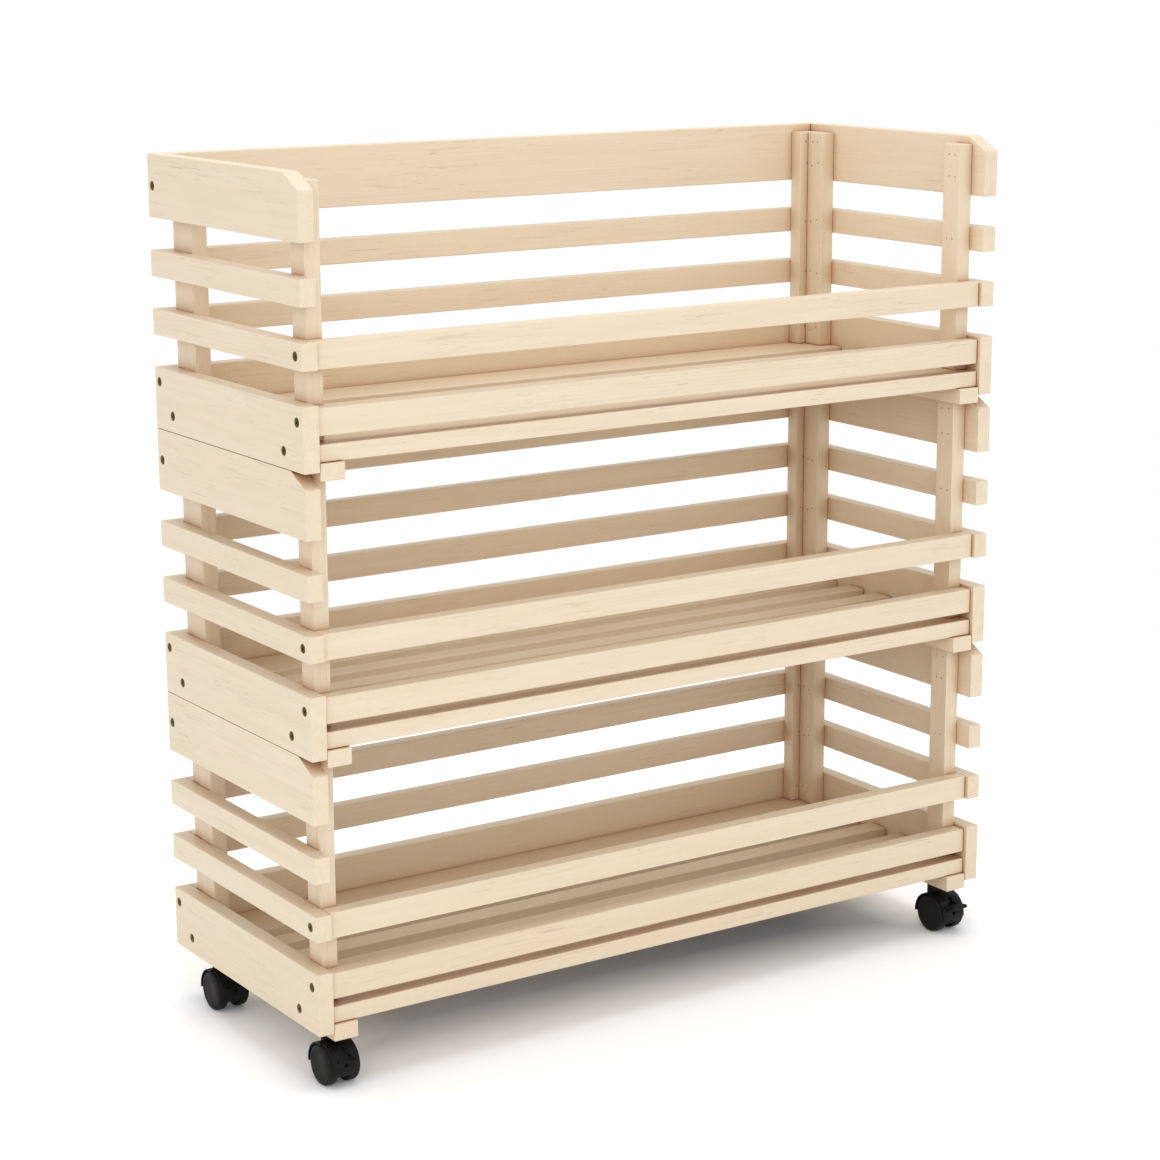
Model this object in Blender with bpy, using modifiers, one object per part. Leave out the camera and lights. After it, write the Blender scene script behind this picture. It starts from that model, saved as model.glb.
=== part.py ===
"""Rolling fruit rack: three stacked pine crates on four twin-wheel casters.

Units are metres, +X runs along the rack's width, +Y to its back and +Z up.
The origin is on the floor, below the middle of the rack.

The crates are alike. Each has two nailed side panels and a nailed back panel,
two front rails, five floor slats and two cross-bars that carry the floor. The
cross-bars hang a little below the side panels, so that they drop between the
side panels of the crate below and rest on its posts.
"""

import math

import bmesh
import bpy
from mathutils import Matrix, Vector

MM = 0.001

# Timber sections
board_thickness = 16 * MM
wide_board = 60 * MM
narrow_board = 25 * MM
edge_ease = 1.0 * MM

# Crate
crate_names = ("bottom", "middle", "top")
crate_width = 800 * MM
crate_depth = 302 * MM
board_gap = 31 * MM
fit_gap = 0.3 * MM
nail_bed = 0.3 * MM
corner_cut_run = 27 * MM
corner_cut_drop = 14.5 * MM
rail_setback = 4.5 * MM
rail_lift = 7.7 * MM
bar_setback = 0.5 * MM
bar_drop = 8 * MM
back_post_inset = 0.6 * MM
narrow_slat_count = 3

# Casters
caster_height = 50 * MM
caster_width = 34 * MM
caster_trail = 9.5 * MM
caster_front_inset = 34 * MM
caster_rear_inset = 40 * MM
wheel_radius = 20 * MM
wheel_shoulder = 3 * MM
wheel_inner_shoulder = 1 * MM
wheel_side_gap = 0.4 * MM
wheel_top_gap = 0.6 * MM
hood_wall = 1.5 * MM
hood_front_width = 28.4 * MM
hood_front_start = 2 * MM
hood_rear_angle = math.radians(-6)
hood_front_angle = math.radians(200)
web_width = 12.4 * MM
web_radius = 15 * MM
boss_radius = 8.5 * MM
boss_root = 8 * MM
stem_radius = 4 * MM
stem_in_boss = 20 * MM
stem_in_bar = 14 * MM
axle_radius = 2.5 * MM
axle_end_cover = 2.5 * MM
peephole_radius = 1.8 * MM
peephole_depth = 3 * MM
peephole_height = 3.2 * MM
notch_width = 3.6 * MM
notch_length = 4.6 * MM
notch_depth = 2.5 * MM
notch_angle = math.radians(130.5)
wedge_top_width = 3.2 * MM
wedge_foot_width = 21 * MM
wedge_depth = 2.8 * MM
wedge_top_angle = math.radians(134)
wedge_foot_angle = math.radians(162)
lip_corner_width = 6.2 * MM
lip_corner_height = 5.6 * MM

# Brake pedal, on the two right-hand casters
pedal_width = 22.7 * MM
pedal_thickness = 2.2 * MM
pedal_length = 10.8 * MM
pedal_reach = 31.8 * MM
pedal_height = 10 * MM
pedal_rise = math.radians(5.5)
pedal_round = 0.9 * MM
pedal_arm_width = 7.6 * MM
pedal_arm_thickness = 2.6 * MM
pedal_hub_radius = 2.8 * MM
pedal_pivot_reach = 12 * MM
pedal_slot_room = 1.3 * MM
pedal_swing_room = 1.8 * MM
trunnion_radius = 1.5 * MM
trunnion_cover = 0.6 * MM

# Cuts run past the faces that they open by this much
overrun = 2 * MM

# Facets
wheel_steps = 32
well_steps = 40
hood_steps = 26
web_steps = 10
boss_steps = 32
shoulder_steps = 2
pin_steps = 16
pedal_round_steps = 3
eased_edge_angle = math.radians(40)
sharp_edge_angle = math.radians(35)
merge_distance = 0.01 * MM

# Sizes that follow from those above
crate_height = 2 * wide_board + 2 * narrow_board + 3 * board_gap
crate_pitch = crate_height + fit_gap
floor_bottom = board_thickness - bar_drop + fit_gap
floor_top = floor_bottom + board_thickness
post_bottom = floor_top + fit_gap
post_top = crate_height - bar_drop
inner_left = board_thickness
inner_right = crate_width - board_thickness
back_board_front = crate_depth - board_thickness
front_post_front = rail_setback + board_thickness + fit_gap
back_post_front = back_board_front - board_thickness
side_post_rear = back_post_front - fit_gap
inner_width = inner_right - inner_left - 2 * fit_gap
hood_radius = wheel_radius + wheel_top_gap + hood_wall
wheel_width = (caster_width - web_width) / 2 - wheel_side_gap
axle_height = caster_height - wheel_radius
front_reach = min(caster_front_inset - caster_trail - pedal_reach, 0)

# Lower and upper edge of the four boards on each side and on the back
board_rows = (
    (0, wide_board),
    (wide_board + board_gap, wide_board + board_gap + narrow_board),
    (wide_board + 2 * board_gap + narrow_board, wide_board + 2 * (board_gap + narrow_board)),
    (crate_height - wide_board, crate_height),
)


# Scene, collections and materials

def clear_scene():
    for old in list(bpy.data.objects):
        bpy.data.objects.remove(old, do_unlink=True)


def new_collection(name):
    collection = bpy.data.collections.new(name)
    bpy.context.scene.collection.children.link(collection)
    return collection


def plain_material(name, colour, roughness, metallic):
    material = bpy.data.materials.new(name)
    material.use_nodes = True
    shader = material.node_tree.nodes["Principled BSDF"]
    shader.inputs["Base Color"].default_value = (*colour, 1)
    shader.inputs["Roughness"].default_value = roughness
    shader.inputs["Metallic"].default_value = metallic
    material.diffuse_color = (*colour, 1)
    return material


def add_object(name, mesh, collection, parent=None, location=(0, 0, 0)):
    thing = bpy.data.objects.new(name, mesh)
    thing.location = location
    thing.parent = parent
    collection.objects.link(thing)
    return thing


def mark_as_cutter(thing):
    thing.hide_render = True
    thing.display_type = "WIRE"


def ease_edges(thing, width=edge_ease, segments=1):
    bevel = thing.modifiers.new("eased edges", "BEVEL")
    bevel.width = width
    bevel.segments = segments
    bevel.limit_method = "ANGLE"
    bevel.angle_limit = eased_edge_angle


def baked_mesh(thing, name):
    """The object's mesh with its modifiers applied, as a new mesh."""
    bpy.context.view_layer.update()
    graph = bpy.context.evaluated_depsgraph_get()
    mesh = bpy.data.meshes.new_from_object(thing.evaluated_get(graph))
    mesh.name = name
    return mesh


def combine(body, others, operation):
    """Give a body one Boolean for each of the other objects."""
    for other in others:
        boolean = body.modifiers.new(other.name, "BOOLEAN")
        boolean.object = other
        boolean.operation = operation


# Timber

def board_mesh(name, size, cut_front_corner=False):
    """A planed board, centred on its origin. Its front top corner can be cut off."""
    bm = bmesh.new()
    bmesh.ops.create_cube(bm, size=1, matrix=Matrix.Diagonal((*size, 1)))
    if cut_front_corner:
        corner = Vector((0, -size[1] / 2, size[2] / 2))
        cut = bmesh.ops.bisect_plane(
            bm,
            geom=bm.verts[:] + bm.edges[:] + bm.faces[:],
            plane_co=corner + Vector((0, corner_cut_run, 0)),
            plane_no=Vector((0, -corner_cut_drop, corner_cut_run)),
            clear_outer=True,
        )
        rim = [item for item in cut["geom_cut"] if isinstance(item, bmesh.types.BMEdge)]
        bmesh.ops.contextual_create(bm, geom=rim)
        bmesh.ops.recalc_face_normals(bm, faces=bm.faces)
    mesh = bpy.data.meshes.new(name)
    bm.to_mesh(mesh)
    bm.free()
    return mesh


def span(low, high):
    """Size and centre of the box between two corners."""
    size = tuple(b - a for a, b in zip(low, high))
    centre = tuple((a + b) / 2 for a, b in zip(low, high))
    return size, centre


def nailed_mesh(name, timbers):
    """One body from boards and posts that are nailed to each other.

    Each timber is its low corner, its high corner and whether its corner is cut.
    """
    blanks = []
    for number, (low, high, cut_front_corner) in enumerate(timbers):
        size, centre = span(low, high)
        mesh = board_mesh(f"{name}_blank_{number}", size, cut_front_corner)
        blank = add_object(mesh.name, mesh, workshop, location=centre)
        ease_edges(blank)
        blanks.append(blank)
    base = add_object(name, bpy.data.meshes.new(name), workshop)
    combine(base, blanks, "UNION")
    mesh = baked_mesh(base, name)
    for blank in blanks + [base]:
        bpy.data.objects.remove(blank, do_unlink=True)
    mesh.materials.clear()
    mesh.materials.append(pine)
    return mesh


def side_panel_mesh(name, outer, inner):
    """Four boards on two posts. The outer faces of the boards are at x = outer."""
    into_crate = math.copysign(1, inner - outer)
    timbers = []
    for bottom, top in board_rows:
        near, far = sorted((outer, inner))
        is_top_board = top == crate_height
        timbers.append(((near, 0, bottom), (far, crate_depth, top), is_top_board))
    near, far = sorted((inner - into_crate * nail_bed, inner + into_crate * board_thickness))
    for front in (front_post_front, side_post_rear - narrow_board):
        low = (near, front, post_bottom)
        high = (far, front + narrow_board, post_top)
        timbers.append((low, high, False))
    return nailed_mesh(name, timbers)


def back_panel_mesh(name):
    """Four boards on two posts, between the side panels."""
    left = inner_left + fit_gap
    right = inner_right - fit_gap
    timbers = [
        ((left, back_board_front, bottom), (right, crate_depth, top), False)
        for bottom, top in board_rows
    ]
    for post_left in (left + back_post_inset, right - back_post_inset - narrow_board):
        low = (post_left, back_post_front, post_bottom)
        high = (post_left + narrow_board, back_board_front + nail_bed, post_top)
        timbers.append((low, high, False))
    return nailed_mesh(name, timbers)


def timber_piece(name, mesh, parent, location):
    piece = add_object(name, mesh, rack, parent, location)
    ease_edges(piece)
    return piece


def stock_mesh(name, size):
    mesh = board_mesh(name, size)
    mesh.materials.append(pine)
    return mesh


def slat_layout():
    """Front edge and width of each floor slat: wide, narrow ones, wide."""
    widths = (wide_board,) + narrow_slat_count * (narrow_board,) + (wide_board,)
    room = back_board_front - fit_gap - rail_setback - sum(widths)
    gap = room / (len(widths) - 1)
    front = rail_setback
    layout = []
    for width in widths:
        layout.append((front, width))
        front += width + gap
    return layout


def bar_mesh():
    length = back_board_front - fit_gap - bar_setback
    return stock_mesh("cross_bar_stock", (narrow_board, length, board_thickness))


def build_crate(name, level, meshes, parent):
    crate = add_object(f"{name}_crate", None, rack, parent, (0, 0, level * crate_pitch))
    for panel in ("left_side_panel", "right_side_panel", "back_panel"):
        add_object(f"{name}_{panel}", meshes[panel], rack, crate)

    rail_y = rail_setback + board_thickness / 2
    rail_rows = {"lower": floor_top + rail_lift, "upper": board_rows[1][0]}
    for row, bottom in rail_rows.items():
        place = (crate_width / 2, rail_y, bottom + narrow_board / 2)
        timber_piece(f"{name}_{row}_front_rail", meshes["rail"], crate, place)

    floor_z = floor_bottom + board_thickness / 2
    for number, (front, width) in enumerate(slat_layout(), start=1):
        mesh = meshes["wide_slat"] if width == wide_board else meshes["narrow_slat"]
        place = (crate_width / 2, front + width / 2, floor_z)
        timber_piece(f"{name}_floor_slat_{number}", mesh, crate, place)

    bar_y = (bar_setback + back_board_front - fit_gap) / 2
    bar_z = board_thickness / 2 - bar_drop
    for side, x in bar_centres.items():
        bar = timber_piece(f"{name}_{side}_cross_bar", meshes["cross_bar"], crate, (x, bar_y, bar_z))
        if level == 0:
            combine(bar, [stem_holes[side, end] for end in caster_rows], "DIFFERENCE")


# Casters

def arc(radius, start, stop, steps):
    """Points of an arc in the Y-Z plane, measured from +Y towards +Z."""
    turns = [start + (stop - start) * step / steps for step in range(steps + 1)]
    return [(radius * math.cos(turn), radius * math.sin(turn)) for turn in turns]


def across(name, outline, width, centre=(0, 0, 0)):
    """An outline in the Y-Z plane, made as wide as asked along X."""
    bm = bmesh.new()
    ring = [bm.verts.new((-width / 2, y, z)) for y, z in outline]
    face = bm.faces.new(ring)
    swept = bmesh.ops.extrude_face_region(bm, geom=[face])
    moved = [item for item in swept["geom"] if isinstance(item, bmesh.types.BMVert)]
    bmesh.ops.translate(bm, verts=moved, vec=(width, 0, 0))
    bmesh.ops.recalc_face_normals(bm, faces=bm.faces)
    bmesh.ops.translate(bm, verts=bm.verts, vec=centre)
    mesh = bpy.data.meshes.new(name)
    bm.to_mesh(mesh)
    bm.free()
    return mesh


def rod_mesh(name, radius, length, axis, centre, steps):
    """A cylinder along X, Y or Z."""
    turns = {"X": Matrix.Rotation(math.pi / 2, 4, "Y"), "Y": Matrix.Rotation(math.pi / 2, 4, "X")}
    turn = turns.get(axis, Matrix.Identity(4))
    bm = bmesh.new()
    bmesh.ops.create_cone(
        bm,
        cap_ends=True,
        segments=steps,
        radius1=radius,
        radius2=radius,
        depth=length,
        matrix=Matrix.Translation(centre) @ turn,
    )
    mesh = bpy.data.meshes.new(name)
    bm.to_mesh(mesh)
    bm.free()
    return mesh


def block_mesh(name, low, high, turn=Matrix.Identity(4)):
    size, centre = span(low, high)
    bm = bmesh.new()
    place = turn @ Matrix.Translation(centre) @ Matrix.Diagonal((*size, 1))
    bmesh.ops.create_cube(bm, size=1, matrix=place)
    mesh = bpy.data.meshes.new(name)
    bm.to_mesh(mesh)
    bm.free()
    return mesh


def tapered_block_mesh(name, low, high, narrowing, turn):
    """A block whose lower end in Z is narrower along X by the given share."""
    mesh = block_mesh(name, low, high)
    for vertex in mesh.vertices:
        if vertex.co.z < (low[2] + high[2]) / 2:
            vertex.co.x *= narrowing
    mesh.transform(turn)
    return mesh


def cutter(mesh, location=(0, 0, 0), parent=None):
    thing = add_object(mesh.name, mesh, cutters, parent, location)
    mark_as_cutter(thing)
    return thing


def shade_round(mesh):
    mesh.shade_smooth()
    mesh.set_sharp_from_angle(angle=sharp_edge_angle)


def fused_mesh(name, base, added, removed, material):
    """Join meshes to a base mesh, cut others from it, and bake the result."""
    body = add_object(name, base, workshop)
    joins = [add_object(mesh.name, mesh, workshop) for mesh in added]
    cuts = [add_object(mesh.name, mesh, workshop) for mesh in removed]
    combine(body, joins, "UNION")
    combine(body, cuts, "DIFFERENCE")
    mesh = baked_mesh(body, name)
    for blank in [body] + joins + cuts:
        bpy.data.objects.remove(blank, do_unlink=True)
    mesh.materials.clear()
    mesh.materials.append(material)
    shade_round(mesh)
    return mesh


def wedge_cut(around_axle):
    """The recess below the notch: a flat facet, narrow at its top and wide at its foot."""
    half_span = hood_radius * math.sin((wedge_foot_angle - wedge_top_angle) / 2)
    low = (-wedge_foot_width / 2, hood_radius - wedge_depth, -half_span)
    high = (wedge_foot_width / 2, hood_radius + overrun, half_span)
    turn = around_axle @ Matrix.Rotation((wedge_top_angle + wedge_foot_angle) / 2, 4, "X")
    return tapered_block_mesh("wedge", low, high, wedge_top_width / wedge_foot_width, turn)


def lip_corner_cuts(around_axle):
    """The two lower corners of the hood's front, cut off on a slant."""
    slant = math.atan2(lip_corner_height, lip_corner_width)
    length = math.hypot(lip_corner_height, lip_corner_width)
    corner_height = hood_radius * math.sin(hood_front_angle) + lip_corner_height
    cuts = []
    for side in (-1, 1):
        corner = Matrix.Translation((side * hood_front_width / 2, 0, corner_height))
        turn = around_axle @ corner @ Matrix.Rotation(-side * slant, 4, "Y")
        near, far = sorted((side * overrun, -side * (length + overrun)))
        low = (near, -hood_radius - overrun, -length)
        high = (far, -web_radius, 0)
        cuts.append(block_mesh("lip_corner", low, high, turn))
    return cuts


def housing_mesh(braked):
    """Hood, web and swivel boss in one moulding. The origin is on the swivel axis, at the top.

    Seen from the side, the hood is an arc over the wheels that reaches further
    down at the front, and the web closes it below. Two round wells take the wheels.
    """
    axle = (0, -caster_trail, -axle_height)
    around_axle = Matrix.Translation(axle)
    outline = arc(hood_radius, hood_rear_angle, hood_front_angle, hood_steps)
    outline += arc(web_radius, hood_front_angle, hood_rear_angle + 2 * math.pi, web_steps)
    body = across("hood", outline, caster_width, axle)

    boss_length = axle_height - boss_root - fit_gap
    boss_centre = (0, 0, -fit_gap - boss_length / 2)
    boss = rod_mesh("boss", boss_radius, boss_length, "Z", boss_centre, boss_steps)

    cuts = []
    well_depth = (caster_width - web_width) / 2 + overrun
    for side in (-1, 1):
        centre = (side * (web_width + well_depth) / 2, axle[1], axle[2])
        well_radius = wheel_radius + wheel_top_gap
        cuts.append(rod_mesh("wheel_well", well_radius, well_depth, "X", centre, well_steps))

    side_room = caster_width - hood_front_width
    for side in (-1, 1):
        edge = side * hood_front_width / 2
        near, far = sorted((edge, edge + side * side_room))
        low = (near, -hood_radius - overrun, -hood_radius)
        high = (far, -hood_front_start, hood_radius + overrun)
        cuts.append(block_mesh("front_narrowing", low, high, around_axle))

    hole_radius = axle_radius + fit_gap
    cuts.append(rod_mesh("axle_hole", hole_radius, web_width + overrun, "X", axle, pin_steps))

    bore_depth = stem_in_boss + overrun
    bore_centre = (0, 0, overrun - bore_depth / 2)
    bore_radius = stem_radius + fit_gap
    cuts.append(rod_mesh("stem_bore", bore_radius, bore_depth, "Z", bore_centre, pin_steps))

    hole_length = peephole_depth + overrun
    hole_y = axle[1] - hood_radius + peephole_depth - hole_length / 2
    hole_centre = (0, hole_y, axle[2] + peephole_height)
    cuts.append(rod_mesh("peephole", peephole_radius, hole_length, "Y", hole_centre, pin_steps))

    notch_low = (-notch_width / 2, hood_radius - notch_depth, -notch_length / 2)
    notch_high = (notch_width / 2, hood_radius + overrun, notch_length / 2)
    turn = around_axle @ Matrix.Rotation(notch_angle, 4, "X")
    cuts.append(block_mesh("notch", notch_low, notch_high, turn))
    cuts.append(wedge_cut(around_axle))
    cuts += lip_corner_cuts(around_axle)

    if braked:
        slot_half = pedal_arm_width / 2 + wheel_side_gap
        slot_rear = pedal_hub_radius + fit_gap - pedal_pivot_reach
        slot_floor = pedal_height - pedal_arm_thickness / 2 - pedal_swing_room
        slot_roof = pedal_height + pedal_hub_radius + pedal_slot_room / 2
        slot_low = (-slot_half, -hood_radius - overrun, slot_floor)
        slot_high = (slot_half, slot_rear, slot_roof)
        cuts.append(block_mesh("pedal_slot", slot_low, slot_high, around_axle))
        pivot = (0, axle[1] - pedal_pivot_reach, axle[2] + pedal_height)
        reach = web_width - 2 * trunnion_cover
        hole_radius = trunnion_radius + fit_gap
        cuts.append(rod_mesh("trunnion_hole", hole_radius, reach, "X", pivot, pin_steps))

    name = "braked_housing" if braked else "plain_housing"
    return fused_mesh(name, body, [boss], cuts, black_plastic)


def wheel_mesh():
    """A wheel turned about X with its closed face at +X, from a Screw modifier.

    The profile runs from the closed face over the tread to the hub's blind bore.
    """
    half = wheel_width / 2
    bore_radius = axle_radius + fit_gap
    bore_end = half - axle_end_cover
    rounding = [math.radians(90) * step / shoulder_steps for step in range(shoulder_steps + 1)]
    profile = [(half, 0)]
    for turn in rounding:
        x = half - wheel_shoulder * (1 - math.cos(turn))
        profile.append((x, wheel_radius - wheel_shoulder * (1 - math.sin(turn))))
    profile += [
        (wheel_inner_shoulder - half, wheel_radius),
        (-half, wheel_radius - wheel_inner_shoulder),
        (-half, bore_radius),
        (bore_end, bore_radius),
        (bore_end, 0),
    ]
    bm = bmesh.new()
    points = [bm.verts.new((x, 0, r)) for x, r in profile]
    for first, second in zip(points, points[1:]):
        bm.edges.new((first, second))
    mesh = bpy.data.meshes.new("wheel_profile")
    bm.to_mesh(mesh)
    bm.free()
    blank = add_object("wheel_profile", mesh, workshop)
    screw = blank.modifiers.new("turned", "SCREW")
    screw.axis = "X"
    screw.steps = wheel_steps
    screw.render_steps = wheel_steps
    screw.use_merge_vertices = True
    screw.merge_threshold = merge_distance
    screw.use_normal_calculate = True
    wheel = baked_mesh(blank, "wheel")
    bpy.data.objects.remove(blank, do_unlink=True)
    wheel.materials.append(black_plastic)
    shade_round(wheel)
    return wheel


def pedal_mesh():
    """Brake pedal: a thin rounded tread on an arm that rises to the front. The origin is on its trunnions."""
    rise = Matrix.Rotation(-pedal_rise, 4, "X")
    tread_half = pedal_thickness / 2
    front = (pedal_pivot_reach - pedal_reach) / math.cos(pedal_rise)
    low = (-pedal_width / 2, front, -tread_half)
    high = (pedal_width / 2, front + pedal_length, tread_half)
    tread = add_object("pedal_tread", block_mesh("pedal_tread", low, high), workshop)
    ease_edges(tread, pedal_round, pedal_round_steps)
    tread_mesh = baked_mesh(tread, "pedal_tread_round")
    tread_mesh.transform(rise)
    bpy.data.objects.remove(tread, do_unlink=True)

    arm_half = pedal_arm_width / 2
    arm_low = (-arm_half, front + pedal_length / 2, -pedal_arm_thickness / 2)
    arm_high = (arm_half, 0, pedal_arm_thickness / 2)
    arm = block_mesh("pedal_arm", arm_low, arm_high, rise)
    hub = rod_mesh("pedal_hub", pedal_hub_radius, pedal_arm_width, "X", (0, 0, 0), pin_steps)
    trunnion_length = web_width - 2 * (trunnion_cover + fit_gap)
    pin = rod_mesh("trunnions", trunnion_radius, trunnion_length, "X", (0, 0, 0), pin_steps)
    return fused_mesh("brake_pedal", hub, [pin, arm, tread_mesh], [], black_plastic)


def build_caster(name, side, end, meshes, parent):
    braked = side == "right"
    place = (bar_centres[side], caster_rows[end], -bar_drop)
    caster = add_object(f"{name}_caster", None, rack, parent, place)
    axle_y = -caster_trail
    axle_z = -axle_height

    housing = meshes["braked_housing"] if braked else meshes["plain_housing"]
    add_object(f"{name}_caster_housing", housing, rack, caster)
    add_object(f"{name}_caster_stem", meshes["stem"], rack, caster)
    add_object(f"{name}_caster_axle", meshes["axle"], rack, caster, (0, axle_y, axle_z))

    wheel_x = (caster_width - wheel_width) / 2
    for wheel_side, direction in (("left", -1), ("right", 1)):
        place = (direction * wheel_x, axle_y, axle_z)
        wheel = add_object(f"{name}_caster_{wheel_side}_wheel", meshes["wheel"], rack, caster, place)
        if direction < 0:
            wheel.rotation_euler = (0, 0, math.pi)

    if braked:
        place = (0, axle_y - pedal_pivot_reach, axle_z + pedal_height)
        add_object(f"{name}_brake_pedal", meshes["pedal"], rack, caster, place)


def pin_mesh(name, radius, length, axis, centre=(0, 0, 0)):
    mesh = rod_mesh(name, radius, length, axis, centre, pin_steps)
    mesh.materials.append(steel)
    shade_round(mesh)
    return mesh


clear_scene()
rack = new_collection("rolling_fruit_rack")
cutters = new_collection("cutters")
workshop = new_collection("workshop")

pine = plain_material("pine", (0.80, 0.64, 0.45), 0.55, 0)
black_plastic = plain_material("black_plastic", (0.018, 0.018, 0.019), 0.45, 0)
steel = plain_material("steel", (0.55, 0.55, 0.56), 0.35, 1)

# Where the cross-bars and the casters below them stand
bar_centres = {
    "left": inner_left + fit_gap + narrow_board / 2,
    "right": inner_right - fit_gap - narrow_board / 2,
}
caster_rows = {"front": caster_front_inset, "rear": crate_depth - caster_rear_inset}

# The rack's corner frame: the underside of the bottom crate's front left corner
origin_y = -(crate_depth + front_reach) / 2
corner = (-crate_width / 2, origin_y, caster_height + bar_drop)
frame = add_object("rolling_fruit_rack", None, rack, location=corner)

hole_depth = stem_in_bar + fit_gap + overrun
hole_z = stem_in_bar + fit_gap - hole_depth / 2 - bar_drop
hole_mesh = rod_mesh("stem_hole", stem_radius + fit_gap, hole_depth, "Z", (0, 0, 0), pin_steps)
stem_holes = {
    (side, end): cutter(hole_mesh, (x, y, hole_z), frame)
    for side, x in bar_centres.items()
    for end, y in caster_rows.items()
}

crate_meshes = {
    "left_side_panel": side_panel_mesh("left_side_panel", 0, inner_left),
    "right_side_panel": side_panel_mesh("right_side_panel", crate_width, inner_right),
    "back_panel": back_panel_mesh("back_panel"),
    "rail": stock_mesh("rail_stock", (inner_width, board_thickness, narrow_board)),
    "wide_slat": stock_mesh("wide_slat_stock", (inner_width, wide_board, board_thickness)),
    "narrow_slat": stock_mesh("narrow_slat_stock", (inner_width, narrow_board, board_thickness)),
    "cross_bar": bar_mesh(),
}
for level, name in enumerate(crate_names):
    build_crate(name, level, crate_meshes, frame)

stem_length = stem_in_boss - fit_gap + stem_in_bar
stem_centre = (0, 0, stem_in_bar - stem_length / 2)
axle_length = caster_width - 2 * (axle_end_cover + fit_gap)
caster_meshes = {
    "plain_housing": housing_mesh(False),
    "braked_housing": housing_mesh(True),
    "wheel": wheel_mesh(),
    "pedal": pedal_mesh(),
    "stem": pin_mesh("stem", stem_radius, stem_length, "Z", stem_centre),
    "axle": pin_mesh("axle", axle_radius, axle_length, "X"),
}
for end in caster_rows:
    for side in bar_centres:
        build_caster(f"{end}_{side}", side, end, caster_meshes, frame)

bpy.data.collections.remove(workshop)
bpy.context.view_layer.update()
print("parts:", sum(1 for thing in rack.objects if thing.type == "MESH"))
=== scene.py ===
# %% [markdown]
# # Dressing a rolling fruit rack
#
# The real rack is three slatted crates of pale pine that stand on each other, carried by four small
# black casters. The physics model already holds every panel, rail, slat and caster as a plain solid
# on its own joint. This lesson puts the real surfaces round those solids: separate boards with
# eased edges and grain, screws, nails, and moulded casters. The cells can be run one after the
# other.

# %% Load the fixed frame
import math
import random

import bmesh
import bpy
import numpy as np
from mathutils import Matrix, Vector


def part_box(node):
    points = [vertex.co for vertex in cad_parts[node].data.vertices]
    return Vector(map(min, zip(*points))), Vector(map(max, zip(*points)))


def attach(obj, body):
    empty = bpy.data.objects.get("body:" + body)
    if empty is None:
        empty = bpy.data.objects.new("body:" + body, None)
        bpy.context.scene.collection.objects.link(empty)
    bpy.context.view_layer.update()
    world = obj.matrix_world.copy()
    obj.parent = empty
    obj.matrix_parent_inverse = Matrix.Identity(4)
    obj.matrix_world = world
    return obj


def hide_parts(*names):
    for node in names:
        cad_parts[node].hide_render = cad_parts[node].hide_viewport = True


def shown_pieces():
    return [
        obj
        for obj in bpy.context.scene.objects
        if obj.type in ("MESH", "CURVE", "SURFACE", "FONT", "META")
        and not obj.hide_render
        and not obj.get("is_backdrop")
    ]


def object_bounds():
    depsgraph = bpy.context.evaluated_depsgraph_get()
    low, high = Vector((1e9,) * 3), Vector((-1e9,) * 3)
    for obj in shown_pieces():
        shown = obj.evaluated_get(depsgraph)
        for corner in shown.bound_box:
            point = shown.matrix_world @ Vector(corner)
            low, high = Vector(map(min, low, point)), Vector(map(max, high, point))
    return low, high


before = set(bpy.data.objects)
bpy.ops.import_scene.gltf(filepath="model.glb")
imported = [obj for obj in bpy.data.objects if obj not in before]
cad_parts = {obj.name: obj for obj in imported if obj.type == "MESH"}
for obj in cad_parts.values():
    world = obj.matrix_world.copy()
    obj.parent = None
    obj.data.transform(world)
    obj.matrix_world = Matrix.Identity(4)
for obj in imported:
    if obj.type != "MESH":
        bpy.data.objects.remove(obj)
cad_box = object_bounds()
print("rack size in mm:", [round(1000 * side) for side in cad_box[1] - cad_box[0]])

# %% [markdown]
# ## The measures of one crate
#
# The three crates are alike, so one set of measures serves them all. Copying sixty numbers out of a
# drawing would work, but a few stock sizes say more: the crate is made of one thickness of board in
# two widths, and everything else follows from the gaps between them. Each crate's own corner comes
# from the frame, so nothing here has to be fitted by eye.

# %% Measures
MM = 0.001
BOARD = 16 * MM
WIDE = 60 * MM
NARROW = 25 * MM
BOARD_GAP = 31 * MM
CRATES = ("bottom", "middle", "top")
CRATE_HEIGHT = 263 * MM
POST_BOTTOM = 24.6 * MM
POST_TOP = 255 * MM
FRONT_POST = 20.8 * MM
REAR_POST = 244.7 * MM

ROWS = [(0, WIDE)]
for _ in range(2):
    ROWS.append((ROWS[-1][1] + BOARD_GAP, ROWS[-1][1] + BOARD_GAP + NARROW))
ROWS.append((CRATE_HEIGHT - WIDE, CRATE_HEIGHT))
print("board rows in mm:", [(round(low / MM), round(high / MM)) for low, high in ROWS])

# %% [markdown]
# ## The camera
#
# A catalogue picture like this is taken with a long lens from a little above, so that upright edges
# stay nearly parallel. The camera's turn is written as the three angles that a photographer would
# name: how far it is turned to the right, how far it looks down, and how little it leans.

# %% Camera
def camera_turn(yaw, pitch, lean):
    """The camera's turn from the three angles, in degrees. At no yaw it looks along +Y."""
    turn = Matrix.Rotation(math.radians(-yaw), 4, "Z")
    tilt = Matrix.Rotation(math.radians(90 + pitch), 4, "X")
    roll = Matrix.Rotation(math.radians(lean), 4, "Z")
    return turn @ tilt @ roll


STAND = (-1.5164, -2.2703, 1.0328)
YAW, PITCH, LEAN = 33.5164, -12.8316, -0.2309
LENS = 85.76

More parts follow.
